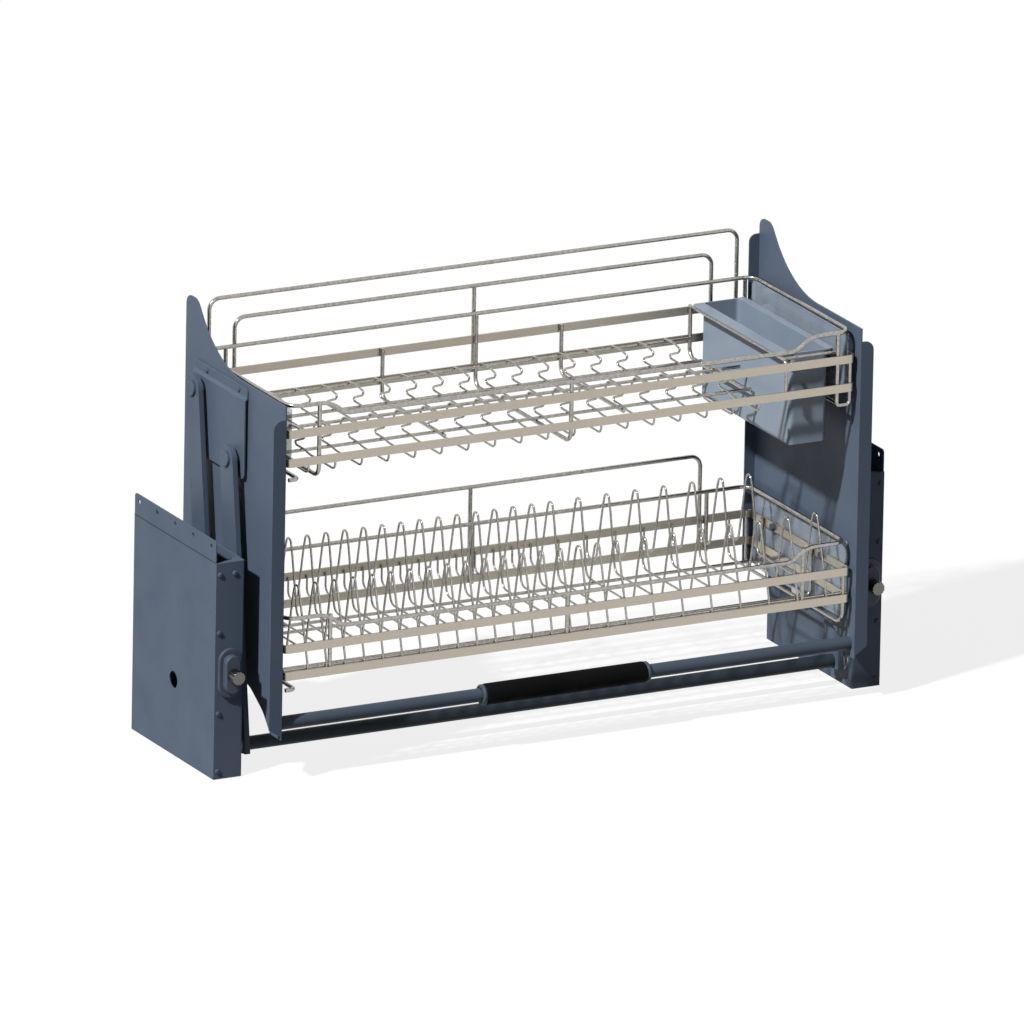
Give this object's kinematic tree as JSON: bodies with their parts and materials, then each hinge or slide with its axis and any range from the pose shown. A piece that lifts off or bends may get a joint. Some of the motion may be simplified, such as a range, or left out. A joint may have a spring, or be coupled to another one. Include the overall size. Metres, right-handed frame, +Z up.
{
  "type": "pull down dish rack",
  "caption": "Pull down dish rack: a basket frame with dividers, hairpins and a cutlery box swings down on four arms between wall housings.",
  "frame": {"origin": "under the middle of the rack's outer size, on the plane of the housings' lower ends", "axes": "+X to the right seen from the front, +Y towards the cabinet's back, +Z up"},
  "size_m": [0.864, 0.26, 0.518],
  "materials": {
    "grey_paint": "satin blue-grey powder coat",
    "arm_paint": "satin blue-grey powder coat",
    "boss_plastic": "satin",
    "zinc_steel": "zinc plated",
    "screw_steel": "zinc plated",
    "knob_metal": "satin",
    "spring_steel": "oiled spring steel",
    "bush_plastic": "natural nylon",
    "tube_paint": "satin blue-grey powder coat",
    "grip_rubber": "matt black",
    "strip_steel": "polished stainless steel",
    "wire_steel": "polished stainless steel",
    "box_plastic": "satin grey plastic"
  },
  "bodies": {
    "housings": {"right_case": "grey_paint", "left_case": "grey_paint", "right_cover": "grey_paint", "left_cover": "grey_paint", "right_cover_screws": "screw_steel", "left_cover_screws": "screw_steel", "right_adjuster_boss": "boss_plastic", "left_adjuster_boss": "boss_plastic", "right_bushes": "bush_plastic", "left_bushes": "bush_plastic", "right_rear_pivot_pin": "zinc_steel", "left_rear_pivot_pin": "zinc_steel"},
    "front_arms": {"right_front_arm": "arm_paint", "left_front_arm": "arm_paint", "right_front_shaft": "zinc_steel", "left_front_shaft": "zinc_steel", "right_crank": "zinc_steel", "left_crank": "zinc_steel", "sync_tube": "tube_paint"},
    "rack": {"box_holder": "wire_steel", "cutlery_box": "box_plastic", "handle_grip": "grip_rubber", "handle_tube": "tube_paint", "left_arm_bracket": "grey_paint", "left_basket_studs": "screw_steel", "left_bracket_screws": "screw_steel", "left_pivot_spacers": "zinc_steel", "left_side_panel": "grey_paint", "left_upper_pins": "zinc_steel", "lower_floor_rods": "wire_steel", "lower_frame": "wire_steel", "lower_front_strips": "strip_steel", "lower_guard": "wire_steel", "lower_plate_wires": "wire_steel", "lower_rear_strips": "strip_steel", "lower_side_strips": "strip_steel", "right_arm_bracket": "grey_paint", "right_basket_studs": "screw_steel", "right_bracket_screws": "screw_steel", "right_pivot_spacers": "zinc_steel", "right_side_panel": "grey_paint", "right_upper_pins": "zinc_steel", "upper_dividers": "wire_steel", "upper_floor_rods": "wire_steel", "upper_frame": "wire_steel", "upper_front_strips": "strip_steel", "upper_guard": "wire_steel", "upper_rear_strips": "strip_steel", "upper_side_strips": "strip_steel"},
    "right_rear_arm_link": {"right_rear_arm": "arm_paint"},
    "right_adjuster": {"right_knob": "knob_metal", "right_adjuster_rod": "zinc_steel"},
    "right_spring_slide": {"right_spring_carrier": "zinc_steel", "right_balance_spring": "spring_steel"},
    "left_rear_arm_link": {"left_rear_arm": "arm_paint"},
    "left_adjuster": {"left_knob": "knob_metal", "left_adjuster_rod": "zinc_steel"},
    "left_spring_slide": {"left_spring_carrier": "zinc_steel", "left_balance_spring": "spring_steel"}
  },
  "joints": [
    {"name": "pull_down", "type": "hinge", "parent": "housings", "child": "front_arms", "pos_m": [0, -0.0568, 0.0301], "axis": [1, 0, 0], "range_deg": [0, 100], "deforming": ["right_balance_spring", "left_balance_spring"]},
    {"name": "rack_level", "type": "hinge", "parent": "front_arms", "child": "rack", "pos_m": [0, -0.01348, 0.36002], "axis": [1, 0, 0], "range_deg": [-100, 0]},
    {"name": "right_rear_swing", "type": "hinge", "parent": "housings", "child": "right_rear_arm_link", "pos_m": [0.3848, 0.0312, 0.0896], "axis": [1, 0, 0], "range_deg": [0, 100]},
    {"name": "right_tension_knob", "type": "hinge", "parent": "housings", "child": "right_adjuster", "pos_m": [0.41375, -0.099, 0.12678], "axis": [0, 1, 0], "range_deg": [-5761, 0]},
    {"name": "right_spring_travel", "type": "slide", "parent": "housings", "child": "right_spring_slide", "axis": [0, 1, 0], "range_m": [0, 0.02], "deforming": ["right_balance_spring"]},
    {"name": "left_rear_swing", "type": "hinge", "parent": "housings", "child": "left_rear_arm_link", "pos_m": [-0.3848, 0.0312, 0.0896], "axis": [1, 0, 0], "range_deg": [0, 100]},
    {"name": "left_tension_knob", "type": "hinge", "parent": "housings", "child": "left_adjuster", "pos_m": [-0.41375, -0.099, 0.12678], "axis": [0, 1, 0], "range_deg": [-5761, 0]},
    {"name": "left_spring_travel", "type": "slide", "parent": "housings", "child": "left_spring_slide", "axis": [0, 1, 0], "range_m": [0, 0.02], "deforming": ["left_balance_spring"]}
  ],
  "couplings": [
    {"joint": "rack_level", "follows": "pull_down", "ratio": -1},
    {"joint": "right_rear_swing", "follows": "pull_down", "ratio": 1},
    {"joint": "right_tension_knob", "follows": "right_spring_travel", "rad_per_m": -5026.5},
    {"joint": "left_rear_swing", "follows": "pull_down", "ratio": 1},
    {"joint": "left_tension_knob", "follows": "left_spring_travel", "rad_per_m": -5026.5}
  ]
}
